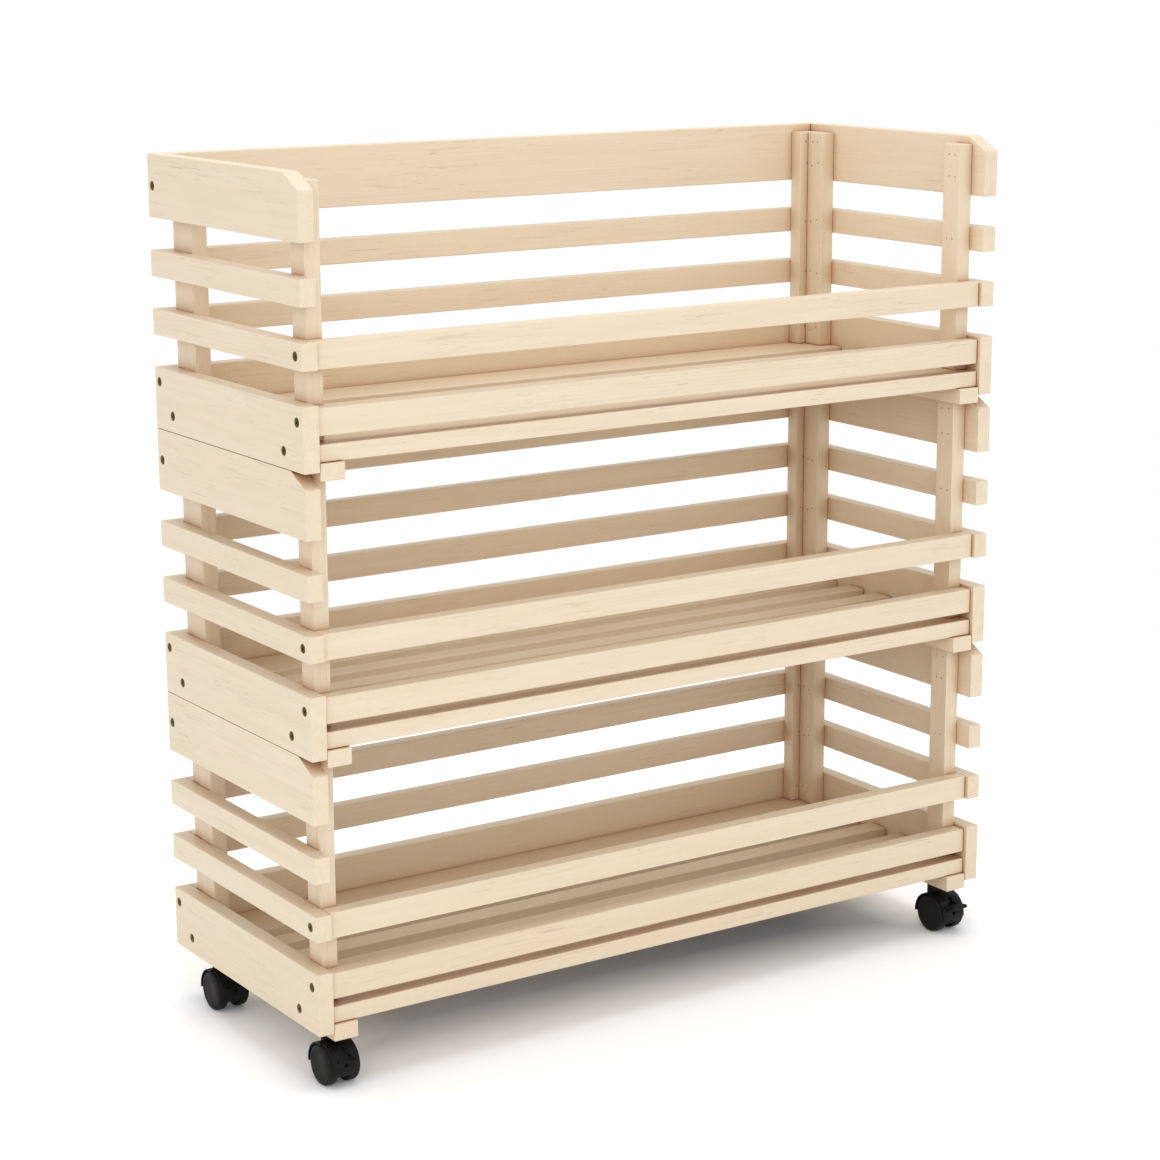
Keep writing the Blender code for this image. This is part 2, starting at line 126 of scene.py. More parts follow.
camera = bpy.data.objects.new("photographer", bpy.data.cameras.new("photographer"))
camera.data.lens = LENS
camera.data.sensor_width = 36
camera.matrix_world = Matrix.Translation(STAND) @ camera_turn(YAW, PITCH, LEAN)
bpy.context.scene.collection.objects.link(camera)
bpy.context.scene.camera = camera
bpy.context.scene.view_settings.view_transform = "Standard"
print("camera stands", round(camera.location.length, 2), "m from the rack")

# %% [markdown]
# ## Small helpers for nodes and pieces
#
# Materials are made from nodes, and long chains of `nodes.new` and `links.new` hide the idea. One
# helper makes a node and fills its sockets: a socket gets either a value or a link. A few short
# ones use it for sums. The last helper puts a mesh in the scene, lets it ride on its body and hides
# the solids it stands for.

# %% Helpers
def node(tree, kind, sockets=(), **settings):
    """Make a shader node. Sockets map a name or number to a value or to another node's output."""
    made = tree.nodes.new("ShaderNode" + kind)
    for setting, value in settings.items():
        setattr(made, setting, value)
    for key, value in dict(sockets).items():
        if isinstance(value, bpy.types.NodeSocket):
            tree.links.new(value, made.inputs[key])
        else:
            made.inputs[key].default_value = value
    return made


def ramp(tree, value, low, high, to_low=0.0, to_high=1.0):
    """Carry the values from low to high over to other ones, and hold them at the ends."""
    sockets = {0: value, 1: low, 2: high, 3: to_low, 4: to_high}
    return node(tree, "MapRange", sockets).outputs[0]


def maths(tree, operation, *values):
    """What a Math node makes of values or of other nodes' outputs."""
    return node(tree, "Math", dict(enumerate(values)), operation=operation).outputs[0]


def product(tree, first, second):
    """Both values multiplied."""
    return maths(tree, "MULTIPLY", first, second)


def total(tree, first, second):
    """Both values added."""
    return maths(tree, "ADD", first, second)


def seen_directly(tree):
    """1 for what the camera, a mirror or glass shows, and 0 for what only lights."""
    rays = node(tree, "LightPath").outputs
    seen = maths(tree, "MAXIMUM", rays["Is Camera Ray"], rays["Is Glossy Ray"])
    return maths(tree, "MAXIMUM", seen, rays["Is Transmission Ray"])


def new_material(name):
    """A material whose Principled shader is ready, and its node tree."""
    material = bpy.data.materials.new(name)
    material.use_nodes = True
    return material, material.node_tree, material.node_tree.nodes["Principled BSDF"]


def mesh_of(bm, name):
    """A mesh from a finished bmesh, which is let go."""
    mesh = bpy.data.meshes.new(name)
    bm.to_mesh(mesh)
    bm.free()
    return mesh


def show(name, mesh, body, stands_for=(), place=(0, 0, 0), turn=0.0):
    """Put a mesh in the scene as a piece that moves with a CAD body."""
    thing = bpy.data.objects.new(name, mesh)
    thing.location = place
    thing.rotation_euler.z = turn
    bpy.context.scene.collection.objects.link(thing)
    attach(thing, body)
    if stands_for:
        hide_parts(*stands_for)
    return thing


print("helpers ready")

# %% [markdown]
# ## White sky
#
# The picture has light from all sides, with a little more from above. A single lamp would throw
# hard slat shadows. A white sky, brighter near the horizon, gives the even light. What the camera
# sees of the sky is plain white at a strength of 1, whatever it sends out as light.

# %% White sky
SKY_HORIZON = 1.26
SKY_TOP = 0.38
WHITE = (1, 1, 1, 1)

world = bpy.data.worlds.new("studio")
world.use_nodes = True
sky = world.node_tree
sky.nodes.clear()
upward = node(sky, "SeparateXYZ", {0: node(sky, "TexCoord").outputs["Generated"]}).outputs["Z"]
level = ramp(sky, upward, 0, 1, SKY_HORIZON, SKY_TOP)
lighting = node(sky, "Background", {"Color": WHITE, "Strength": level})
backdrop = node(sky, "Background", {"Color": WHITE, "Strength": 1})
sights = {0: seen_directly(sky), 1: lighting.outputs[0], 2: backdrop.outputs[0]}
node(sky, "OutputWorld", {"Surface": node(sky, "MixShader", sights).outputs[0]})
bpy.context.scene.world = world
print("sky strength:", SKY_HORIZON, "at the horizon and", SKY_TOP, "overhead")

# %% [markdown]
# ## Soft panels
#
# Light that is the same from all sides leaves a form flat. Two large panels, one to the front left
# and one overhead, add some direction, and they are so large that their shadows stay soft.

# %% Soft panels
def soft_panel(name, place, aim, width, height, watts):
    """A large rectangular lamp that looks at a point."""
    lamp = bpy.data.lights.new(name, "AREA")
    lamp.shape = "RECTANGLE"
    lamp.size = width
    lamp.size_y = height
    lamp.energy = watts
    panel = bpy.data.objects.new(name, lamp)
    panel.location = place
    panel.rotation_euler = (Vector(aim) - panel.location).to_track_quat("-Z", "Y").to_euler()
    bpy.context.scene.collection.objects.link(panel)


RACK_MIDDLE = (0, 0, 0.4)
soft_panel("front_left_panel", (-1.7, -2.6, 2.1), RACK_MIDDLE, 2.6, 2.0, 20)
soft_panel("overhead_panel", (0, -0.1, 3.4), RACK_MIDDLE, 2.4, 2.4, 33)
print("soft panels:", len(bpy.data.lights))

# %% [markdown]
# ## Floor
#
# The ground is white and keeps a soft shadow under the rack. The shadow in the picture is deeper
# than soft light alone makes it, so the floor's own colour darkens under the rack. It does so by
# the place on the floor: how far in from the two ends of the rack, and how far in from its front
# and back. The shade is a little deeper on the right, and a little less in blue than in red. Each
# pair of numbers below says where a ramp starts and ends, and four also say what it gives there.

# %% Floor sheet
FLOOR_REACH = 30

bm = bmesh.new()
bmesh.ops.create_grid(bm, x_segments=1, y_segments=1, size=FLOOR_REACH)
floor_mesh = mesh_of(bm, "floor")
floor = bpy.data.objects.new("floor", floor_mesh)
bpy.context.scene.collection.objects.link(floor)
floor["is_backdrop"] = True
floor_paint, tree, _ = new_material("white_floor")
tree.nodes.clear()
floor_mesh.materials.append(floor_paint)
print("floor reaches", FLOOR_REACH, "m")

# %% Floor shade by place
LEFT_END = (-0.383, -0.236)
RIGHT_END = (0.37, 0.325)
RIGHT_TAPER = (0.46, 0.24)
DEPTH = (0.117, 0.032)
LESS_DEPTH_RIGHT = (0, 0.2, 1, 0.91)
DEEPER_RIGHT = (-0.3, 0.25, 0.76, 1.12)
FULL_SHADE = 1.05
TINTS = ((0, 1.18, 0.286), (0.04, 1.195, 0.316), (0.09, 1.215, 0.366))

place = node(tree, "NewGeometry").outputs["Position"]
parts = node(tree, "SeparateXYZ", {0: place}).outputs
across = parts["X"]
depth = maths(tree, "ABSOLUTE", parts["Y"])
ends = product(tree, ramp(tree, across, *LEFT_END), ramp(tree, across, *RIGHT_END))
ends = product(tree, ends, ramp(tree, across, *RIGHT_TAPER))
narrowed = product(tree, depth, ramp(tree, across, *LESS_DEPTH_RIGHT))
under = maths(tree, "MINIMUM", ends, ramp(tree, narrowed, *DEPTH))
under = product(tree, under, ramp(tree, across, *DEEPER_RIGHT))
shades = [ramp(tree, under, start, FULL_SHADE, pale, pale * deep) for start, pale, deep in TINTS]
shade = node(tree, "CombineColor", dict(enumerate(shades))).outputs[0]
print("floor shade has", len(tree.nodes), "nodes")

# %% [markdown]
# ## The floor to the camera and to the light
#
# A floor that is white to the light still shows as pale grey, because no light is even. More light
# would bleach the wood. So the floor is paler to the camera than to the light, and beyond a metre
# or so it glows plain white. Round the rack and in the gap by the right front caster it is paler
# still, painted light that thins the floor's shadow there.

# %% Floor to camera and light
TO_LIGHT = 0.82
AHEAD = (0.125, 0.165, 1, 1.07)
BESIDE = (0.375, 0.43, 1, 1.14)
GAP_ACROSS = (0.36, 0.395, 0, 0.34)
GAP_DEPTH = (0.1, 0.06)
GLOW = (0.8, 1.5)

width = maths(tree, "ABSOLUTE", across)
# Painted light: round the rack and in the gap by the right front caster the floor is made paler,
# which thins its shadow.
clear = maths(tree, "MAXIMUM", ramp(tree, depth, *AHEAD), ramp(tree, width, *BESIDE))
in_gap = ramp(tree, across, *GAP_ACROSS)
gap = maths(tree, "MULTIPLY_ADD", in_gap, ramp(tree, depth, *GAP_DEPTH), 1)
clear = maths(tree, "MAXIMUM", clear, gap)
matt = node(tree, "VectorMath", {0: shade, "Scale": TO_LIGHT}, operation="SCALE")
lit = node(tree, "BsdfDiffuse", {"Color": matt.outputs["Vector"]})
paler = node(tree, "VectorMath", {0: shade, "Scale": clear}, operation="SCALE")
pale = node(tree, "BsdfDiffuse", {"Color": paler.outputs["Vector"]})
glow = node(tree, "Emission", {"Color": WHITE, "Strength": 1})
from_rack = node(tree, "VectorMath", {0: place}, operation="LENGTH")
far = ramp(tree, from_rack.outputs["Value"], *GLOW)
studio = node(tree, "MixShader", {0: far, 1: pale.outputs[0], 2: glow.outputs[0]})
sights = {0: seen_directly(tree), 1: lit.outputs[0], 2: studio.outputs[0]}
node(tree, "OutputMaterial", {"Surface": node(tree, "MixShader", sights).outputs[0]})
print("floor material has", len(tree.nodes), "nodes")

# %% [markdown]
# ## Pine
#
# The boards are pale, planed whitewood: faint growth lines that run along each board, finer fibres
# between them, a few short dark flecks, and boards that differ a little in tone. A picture of wood
# would repeat. A solid pattern is cut like a real log instead: every point of a board knows its
# place in the log, so the lines run over the edges and show as rings on the ends. That place is
# kept on the mesh, in an attribute, with another log for each board.

# %% Pattern helpers
def stretched(tree, place, scale):
    """The place in the log, scaled differently along and across it."""
    return node(tree, "VectorMath", {0: place, 1: scale}, operation="MULTIPLY").outputs[0]


def noise(tree, place, scale, detail=2.0, roughness=0.5):
    """A noise pattern, scaled in each direction. Fine detail is stronger with more roughness."""
    sockets = {"Vector": stretched(tree, place, scale), "Scale": 1}
    sockets.update({"Detail": detail, "Roughness": roughness})
    return node(tree, "TexNoise", sockets).outputs[0]


def blend_colours(tree, share, first, second):
    """The first colour, with a share of the second in it."""
    made = node(tree, "Mix", data_type="RGBA")
    for socket, value in ((0, share), (6, first), (7, second)):
        if isinstance(value, bpy.types.NodeSocket):
            tree.links.new(value, made.inputs[socket])
        else:
            made.inputs[socket].default_value = value
    return made.outputs[2]


print("pattern helpers ready")

# %% Pine patterns
pine, tree, shader = new_material("pine")
place = node(tree, "Attribute", attribute_name="place_in_log").outputs["Vector"]
tone = node(tree, "Attribute", attribute_name="board_tone").outputs["Fac"]
rings = node(
    tree,
    "TexWave",
    {
        "Vector": stretched(tree, place, (0.05, 1, 1)),
        "Scale": 95,
        "Distortion": 7,
        "Detail": 2,
        "Detail Scale": 0.25,
        "Detail Roughness": 0.6,
    },
    wave_type="RINGS",
    rings_direction="X",
).outputs["Fac"]
fibres = noise(tree, place, (9, 480, 480), 4, 0.6)
streaks = noise(tree, place, (6, 100, 100), 4, 0.62)
clouds = noise(tree, place, (5, 24, 24), 3, 0.6)
ring_patches = noise(tree, place, (2.5, 16, 16), 1)
short_flecks = noise(tree, place, (60, 1100, 1100), 2, 0.7)
long_flecks = noise(tree, place, (13, 520, 520), 3, 0.7)
fleck_patches = noise(tree, place, (9, 42, 42), 3, 0.65)
print("pine patterns:", len(tree.nodes), "nodes")

# %% [markdown]
# ## The colours of pine
#
# The patterns only say how much of a colour shows. The pale earlywood comes first, the darker
# latewood of the growth lines is blended in, then warm clouds, the tone of the board and the
# flecks. Light that has met wood before is darker and redder, so three Ambient Occlusion nodes
# paint darker, redder shade into the colour where other wood stands near: one reaches far, for the
# inside of the crates, one shorter, for the corners, and one only a few millimetres, for the
# joints.

# %% Pine colours
EARLYWOOD = (0.88, 0.758, 0.575, 1)
LATEWOOD = (0.785, 0.63, 0.445, 1)
WARM_CLOUD = (0.865, 0.702, 0.52, 1)
DARKER_BOARD = (0.835, 0.695, 0.508, 1)
FLECK = (0.43, 0.27, 0.17, 1)

latewood = ramp(tree, ring_patches, 0.42, 0.68, 0.02, 0.26)
latewood = product(tree, ramp(tree, rings, 0.4, 1.0), latewood)
grain = total(tree, latewood, ramp(tree, streaks, 0.3, 0.72, 0, 0.6))
grain = total(tree, grain, ramp(tree, fibres, 0.3, 0.7, 0, 0.1))
wood = blend_colours(tree, ramp(tree, grain, 0.05, 1), EARLYWOOD, LATEWOOD)
warm = blend_colours(tree, ramp(tree, clouds, 0.38, 0.68, 0, 0.6), wood, WARM_CLOUD)
toned = blend_colours(tree, ramp(tree, tone, 0, 1, 0, 0.34), warm, DARKER_BOARD)
short_spots = ramp(tree, short_flecks, 0.61, 0.73, 0, 0.85)
long_spots = ramp(tree, long_flecks, 0.58, 0.71, 0, 0.85)
spots = total(tree, short_spots, long_spots)
spots = product(tree, spots, ramp(tree, fleck_patches, 0.47, 0.62, 0, 0.55))
flecked = blend_colours(tree, spots, toned, FLECK)
print("pine colours:", len(tree.nodes), "nodes")

# %% Pine with painted shade in corners and joints
CRATE_PAINTED_SHADE = (0.53, 0.37, 0.215, 1)
CORNER_PAINTED_SHADE = (0.56, 0.29, 0.14, 1)
JOINT_PAINTED_SHADE = (0.33, 0.12, 0.045, 1)


def openness(reach, samples):
    """1 where nothing stands within reach, and less where other wood does."""
    return node(tree, "AmbientOcclusion", {"Distance": reach}, samples=samples).outputs["AO"]


# Painted shade: the pine turns darker and redder where other wood stands near, inside the crates,
# in corners and along joints.
far_open = openness(220 * MM, 4)
near_open = openness(14 * MM, 5)
joint_open = openness(4 * MM, 6)
painted_shade_wood = blend_colours(tree, ramp(tree, far_open, 0.3, 0.82, 0.47, 0), flecked, CRATE_PAINTED_SHADE)
painted_shade_wood = blend_colours(tree, ramp(tree, near_open, 0.3, 0.85, 0.66, 0), painted_shade_wood, CORNER_PAINTED_SHADE)
painted_shade_wood = blend_colours(tree, ramp(tree, joint_open, 0.2, 0.58, 0.95, 0), painted_shade_wood, JOINT_PAINTED_SHADE)
tree.links.new(painted_shade_wood, shader.inputs["Base Color"])
tree.links.new(ramp(tree, fibres, 0.3, 0.7, 0.36, 0.48), shader.inputs["Roughness"])
shader.inputs["Specular IOR Level"].default_value = 0.5
raised = total(tree, latewood, fibres)
bump = node(tree, "Bump", {"Strength": 0.3, "Distance": 0.00012, "Height": raised})
tree.links.new(bump.outputs[0], shader.inputs["Normal"])
print("pine has", len(tree.nodes), "nodes")

# %% [markdown]
# ## One board
#
# A planed board is a box whose arrises have been taken off with a plane or a sanding pad. A cube
# with a Bevel gives that. The faces stay flat under smooth shading because a Weighted Normal
# modifier lets the large faces decide. The corner of each top side board is sawn off with one cut
# of a plane, and screw heads sink into shallow cones, which a Boolean takes out.

# %% Board blanks
EASE = 0.9 * MM
POST_EASE = 0.6 * MM
EASE_STEPS = 3
CORNER_RUN = 27 * MM
CORNER_DROP = 14.5 * MM


def board_blank(name, size, cut_corner, ease):
    """A board round the origin, with its arrises taken off."""
    bm = bmesh.new()
    bmesh.ops.create_cube(bm, size=1, matrix=Matrix.Diagonal((*size, 1)))
    if cut_corner:
        corner = Vector((0, -size[1] / 2 + CORNER_RUN, size[2] / 2))
        whole = bm.verts[:] + bm.edges[:] + bm.faces[:]
        slope = Vector((0, -CORNER_DROP, CORNER_RUN))
        side = {"plane_co": corner, "plane_no": slope, "clear_outer": True}
        cut = bmesh.ops.bisect_plane(bm, geom=whole, **side)
        rim = [item for item in cut["geom_cut"] if isinstance(item, bmesh.types.BMEdge)]
        bmesh.ops.contextual_create(bm, geom=rim)
        bmesh.ops.recalc_face_normals(bm, faces=bm.faces)
    rounding = {"offset": ease, "segments": EASE_STEPS, "profile": 0.5, "affect": "EDGES"}
    bmesh.ops.bevel(bm, geom=bm.edges[:], **rounding)
    return mesh_of(bm, name)


def carve(mesh, cutters):
    """The mesh with other meshes cut out of it."""
    body = bpy.data.objects.new(mesh.name, mesh)
    others = [bpy.data.objects.new(cutter.name, cutter) for cutter in cutters]
    for thing in [body] + others:
        bpy.context.scene.collection.objects.link(thing)
    for other in others:
        cut = body.modifiers.new(other.name, "BOOLEAN")
        cut.object = other
        cut.operation = "DIFFERENCE"
    bpy.context.view_layer.update()
    graph = bpy.context.evaluated_depsgraph_get()
    carved = bpy.data.meshes.new_from_object(body.evaluated_get(graph), depsgraph=graph)
    carved.name = mesh.name
    for thing in [body] + others:
        bpy.data.objects.remove(thing)
    return carved


print("a board's edge is rounded by", round(EASE / MM, 1), "mm")

# %% Boards out of a log
ALONG = {"X": (0, 1, 2), "Y": (1, 0, 2), "Z": (2, 0, 1)}
OFF_HEART = (0.045, 0.11)
TRUNK_LENGTH = 20
chance = random.Random(7)


def place_in_log(mesh, along):
    """Give each point its place in a log of its own, whose heart lies outside the board."""
    points = np.empty(3 * len(mesh.vertices), np.float32)
    mesh.vertices.foreach_get("co", points)
    bearing = chance.uniform(0, 2 * math.pi)
    away = chance.uniform(*OFF_HEART)
    start = (chance.uniform(0, TRUNK_LENGTH), away * math.cos(bearing), away * math.sin(bearing))
    in_log = points.reshape(-1, 3)[:, ALONG[along]] + np.array(start, np.float32)
    kept = mesh.attributes.new("place_in_log", "FLOAT_VECTOR", "POINT")
    kept.data.foreach_set("vector", in_log.ravel())
    tones = np.full(len(mesh.vertices), chance.random(), np.float32)
    mesh.attributes.new("board_tone", "FLOAT", "POINT").data.foreach_set("value", tones)


def board(name, body, low, high, along, stands_for=(), cut_corner=False, cutters=(), ease=EASE):
    """A board between two corners, with its grain along one axis."""
    low, high = Vector(low), Vector(high)
    centre = (low + high) / 2
    mesh = board_blank(name, high - low, cut_corner, ease)
    if cutters:
        for cutter in cutters:
            cutter.transform(Matrix.Translation(-centre))
        mesh = carve(mesh, cutters)
    place_in_log(mesh, along)
    mesh.materials.clear()
    mesh.materials.append(pine)
    mesh.shade_smooth()
    piece = show(name, mesh, body, stands_for, centre)
    piece.modifiers.new("flat faces", "WEIGHTED_NORMAL").keep_sharp = True


print("the heart of a log lies", OFF_HEART, "m off the middle of its board")

# %% [markdown]
# ## Side and back panels
#
# Each side is four boards nailed to two posts, and the back is made the same way. The physics model
# has a panel as one solid, because they never part. Here every board and post is a piece of its
# own, with its own grain, and one of them stands for the solid. The screws that hold the crate
# together go through the side boards, so their holes are cut before the boards are shaded. Each
# screw is placed by how far it is from the crate's front and from its foot, in millimetres.

# %% Screw holes
SCREW_HEAD = 4.6 * MM
SCREW_SINK = 0.2 * MM
SCREWS = [(293, 233), (293, 46), (266, 16), (12.5, 103.5), (12.5, 45), (38.8, 16)]
HOLE_MOUTH = SCREW_HEAD + 1.6 * MM
HOLE_END = SCREW_HEAD - 1.9 * MM
HOLE_LENGTH = 4 * MM
HOLE_MIDDLE = 0.4 * MM
BACK_POST_INSET = 0.6 * MM


def outside(crate, side):
    """Where the outer face of a side panel lies along X, and which way its wood goes from there."""
    low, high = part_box(f"{crate}_{side}_side_panel")
    return (low.x, 1) if side == "left" else (high.x, -1)


def screw_hole(x, y, z, into):
    """A shallow cone for a screw head, opening at x and narrowing in the direction of into."""
    turn = Matrix.Rotation(math.copysign(math.pi / 2, into), 4, "Y")
    bm = bmesh.new()
    bmesh.ops.create_cone(
        bm,
        cap_ends=True,
        segments=28,
        radius1=HOLE_MOUTH,
        radius2=HOLE_END,
        depth=HOLE_LENGTH,
        matrix=Matrix.Translation((x + into * HOLE_MIDDLE, y, z)) @ turn,
    )
    return mesh_of(bm, "screw_hole")


print("screws in a side panel:", len(SCREWS))

# %% Side panels
def add_side_panel(crate, side, corner):
    """Boards and posts of one side panel. The corner is the crate's front left one, at its foot."""
    node_name = f"{crate}_{side}_side_panel"
    body = f"{crate}_crate"
    low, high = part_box(node_name)
    outer, into = outside(crate, side)
    near, far = sorted((outer, outer + into * BOARD))
    for number, (bottom, top) in enumerate(ROWS, start=1):
        holes = [
            screw_hole(outer, corner.y + y * MM, corner.z + z * MM, into)
            for y, z in SCREWS
            if bottom < z * MM < top
        ]
        board(
            f"{crate}_{side}_board_{number}",
            body,
            (near, low.y, corner.z + bottom),
            (far, high.y, corner.z + top),
            "Y",
            [node_name] if number == 1 else (),
            top == CRATE_HEIGHT,
            holes,
        )
    near, far = sorted((outer + into * BOARD, outer + into * 2 * BOARD))
    for end, front in (("front", FRONT_POST), ("rear", REAR_POST)):
        board(
            f"{crate}_{side}_{end}_post",
            body,
            (near, corner.y + front, corner.z + POST_BOTTOM),
            (far, corner.y + front + NARROW, corner.z + POST_TOP),
            "Z",
            ease=POST_EASE,
        )


corners = {crate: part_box(f"{crate}_left_side_panel")[0] for crate in CRATES}
print("crates stand at", [round(corner.z / MM, 1) for corner in corners.values()], "mm")

# %% Back panels
def add_back_panel(crate, corner):
    """Boards and posts of the back panel, from the same corner."""
    node_name = f"{crate}_back_panel"
    body = f"{crate}_crate"
    low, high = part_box(node_name)
    for number, (bottom, top) in enumerate(ROWS, start=1):
        board(
            f"{crate}_back_board_{number}",
            body,
            (low.x, high.y - BOARD, corner.z + bottom),
            (high.x, high.y, corner.z + top),
            "X",
            [node_name] if number == 1 else (),
        )
    lefts = {"left": low.x + BACK_POST_INSET, "right": high.x - BACK_POST_INSET - NARROW}
    for side, left in lefts.items():
        board(
            f"{crate}_back_{side}_post",
            body,
            (left, low.y, corner.z + POST_BOTTOM),
            (left + NARROW, high.y - BOARD, corner.z + POST_TOP),
            "Z",
            ease=POST_EASE,
        )


for crate, corner in corners.items():
    for side in ("left", "right"):
        add_side_panel(crate, side, corner)
    add_back_panel(crate, corner)

# %% [markdown]
# ## Rails, floor slats and cross-bars
#
# These are single boards in the frame too, so each takes its two corners straight from its solid.
# Only the direction of the grain has to be told: a board is sawn along the trunk, so the grain
# follows the longest side.

# %% Rails, slats and cross-bars
for crate in CRATES:
    own = [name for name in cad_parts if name.startswith(crate)]
    for name in own:
        if name.endswith("panel"):
            continue
        low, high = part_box(name)
        sides = high - low
        along = "XYZ"[max(range(3), key=lambda axis: sides[axis])]
        board(f"{name}_board", f"{crate}_crate", low, high, along, [name])
print("boards in all:", sum(1 for mesh in bpy.data.meshes if "board_tone" in mesh.attributes))

# %% [markdown]
# ## Screws
#
# Six countersunk screws on each side of a crate, with aged brass heads a little below the wood. A
# head is a disc with a chamfered rim and a cross-shaped recess. The recess shows as the dark middle
# in the picture, so it is cut for real and not painted.

# %% Screws
BRASS = (0.15, 0.095, 0.006, 1)
TARNISHED = (0.045, 0.028, 0.002, 1)

brass, tree, shader = new_material("aged_brass")
spot = node(tree, "TexCoord").outputs["Object"]
tarnish = noise(tree, spot, (900, 900, 900), 3, 0.6)
aged = blend_colours(tree, ramp(tree, tarnish, 0.35, 0.7), BRASS, TARNISHED)
tree.links.new(aged, shader.inputs["Base Color"])
shader.inputs["Metallic"].default_value = 1
tree.links.new(ramp(tree, tarnish, 0.3, 0.7, 0.32, 0.55), shader.inputs["Roughness"])
brass_bump = node(tree, "Bump", {"Strength": 0.2, "Distance": 0.0001, "Height": tarnish})
tree.links.new(brass_bump.outputs[0], shader.inputs["Normal"])
print("brass has", len(tree.nodes), "nodes")

# %% Screw heads
HEAD_HEIGHT = 1.8 * MM
HEAD_CHAMFER = 0.25 * MM
RECESS_LENGTH = 5.4 * MM
RECESS_WIDTH = 1.7 * MM
RECESS_DEPTH = 3 * MM
RECESS_TAPER = 0.45


def screw_head():
    """A countersunk head that faces -X, with its rim at x = 0."""
    bm = bmesh.new()
    turn = Matrix.Rotation(-math.pi / 2, 4, "Y")
    seat = Matrix.Translation((HEAD_HEIGHT / 2, 0, 0)) @ turn
    bmesh.ops.create_cone(
        bm,
        cap_ends=True,
        segments=40,
        radius1=SCREW_HEAD - 1.6 * MM,
        radius2=SCREW_HEAD,
        depth=HEAD_HEIGHT,
        matrix=seat,
    )
    rim = [edge for edge in bm.edges if all(abs(vert.co.x) < 0.01 * MM for vert in edge.verts)]
    bmesh.ops.bevel(bm, geom=rim, offset=HEAD_CHAMFER, segments=2, profile=0.5, affect="EDGES")
    mesh = mesh_of(bm, "screw_head")
    arms = []
    for breadth, height in ((RECESS_LENGTH, RECESS_WIDTH), (RECESS_WIDTH, RECESS_LENGTH)):
        size = (RECESS_DEPTH, breadth, height)
        bm = bmesh.new()
        bmesh.ops.create_cube(bm, size=1, matrix=Matrix.Diagonal((*size, 1)))
        for vert in bm.verts:
            if vert.co.x > 0:
                vert.co.yz = vert.co.yz * RECESS_TAPER
        arms.append(mesh_of(bm, "recess_arm"))
    return carve(mesh, arms)


head = screw_head()


def add_screws(crate, side, corner):
    """The six heads on one side of a crate, as one mesh."""
    outer, into = outside(crate, side)
    bm = bmesh.new()
    for y, z in SCREWS:
        spin = Matrix.Rotation(chance.uniform(0, math.pi / 2), 4, "X")
        turn = Matrix.Rotation(0 if into > 0 else math.pi, 4, "Z")
        spot = Vector((outer + into * SCREW_SINK, corner.y + y * MM, corner.z + z * MM))
        copy = head.copy()
        copy.transform(Matrix.Translation(spot) @ turn @ spin)
        bm.from_mesh(copy)
        bpy.data.meshes.remove(copy)
    mesh = mesh_of(bm, f"{crate}_{side}_screws")
    mesh.materials.append(brass)
    mesh.shade_smooth()
    mesh.set_sharp_from_angle(angle=math.radians(35))
    show(mesh.name, mesh, f"{crate}_crate")


for crate, corner in corners.items():
    for side in ("left", "right"):
        add_screws(crate, side, corner)
print("screws:", len(SCREWS) * 2 * len(CRATES))

# %% [markdown]
# ## Nail points
#
# The boards are nailed from outside, and the inner faces of the posts show the dark points of the
# nails: four behind each wide board and two behind each narrow one, never quite in line. They are
# shallow domes set on the post, placed with a seeded chance so that they come out the same each
# time.

# %% Iron of the nails
IRON = (0.10, 0.075, 0.06, 1)
RUST = (0.20, 0.13, 0.08, 1)

iron, tree, shader = new_material("nail_iron")
spot = node(tree, "TexCoord").outputs["Object"]
rust = noise(tree, spot, (1500, 1500, 1500), 2)
dark = blend_colours(tree, ramp(tree, rust, 0.35, 0.7), IRON, RUST)
tree.links.new(dark, shader.inputs["Base Color"])
shader.inputs["Metallic"].default_value = 0.4
shader.inputs["Roughness"].default_value = 0.6
print("iron has", len(tree.nodes), "nodes")

# %% Nails
NAIL = 0.8 * MM
NAIL_DOME = 0.2 * MM
NAIL_LINE = 12 * MM
NAIL_SIDE = 4.5 * MM
STRAY_ACROSS = 1.5 * MM
STRAY_UP = 1.8 * MM


def nail_points(bm, point, width_axis, corner):
    """Add the nail points of one post, from a point in the middle of its inner face."""
    shape = [NAIL, NAIL, NAIL]
    shape[1 - width_axis] = NAIL_DOME
    for bottom, top in ROWS:
        middle = corner.z + (bottom + top) / 2
        lines = (-NAIL_LINE, NAIL_LINE) if top - bottom > NARROW * 1.5 else (0,)
        for line in lines:
            for across in (-NAIL_SIDE, NAIL_SIDE):
                spot = Vector(point)
                spot[width_axis] += across + chance.uniform(-1, 1) * STRAY_ACROSS
                spot.z = middle + line + chance.uniform(-1, 1) * STRAY_UP
                place = Matrix.Translation(spot) @ Matrix.Diagonal((*shape, 1))
                bmesh.ops.create_uvsphere(bm, u_segments=10, v_segments=6, radius=1, matrix=place)


def add_nails(crate, panel_name, points, width_axis, corner):
    """The nail points of one panel, as one mesh. Each post of it has a point of its own."""
    bm = bmesh.new()
    for point in points:
        nail_points(bm, point, width_axis, corner)
    mesh = mesh_of(bm, f"{crate}_{panel_name}_nails")
    mesh.materials.append(iron)
    mesh.shade_smooth()
    show(mesh.name, mesh, f"{crate}_crate")


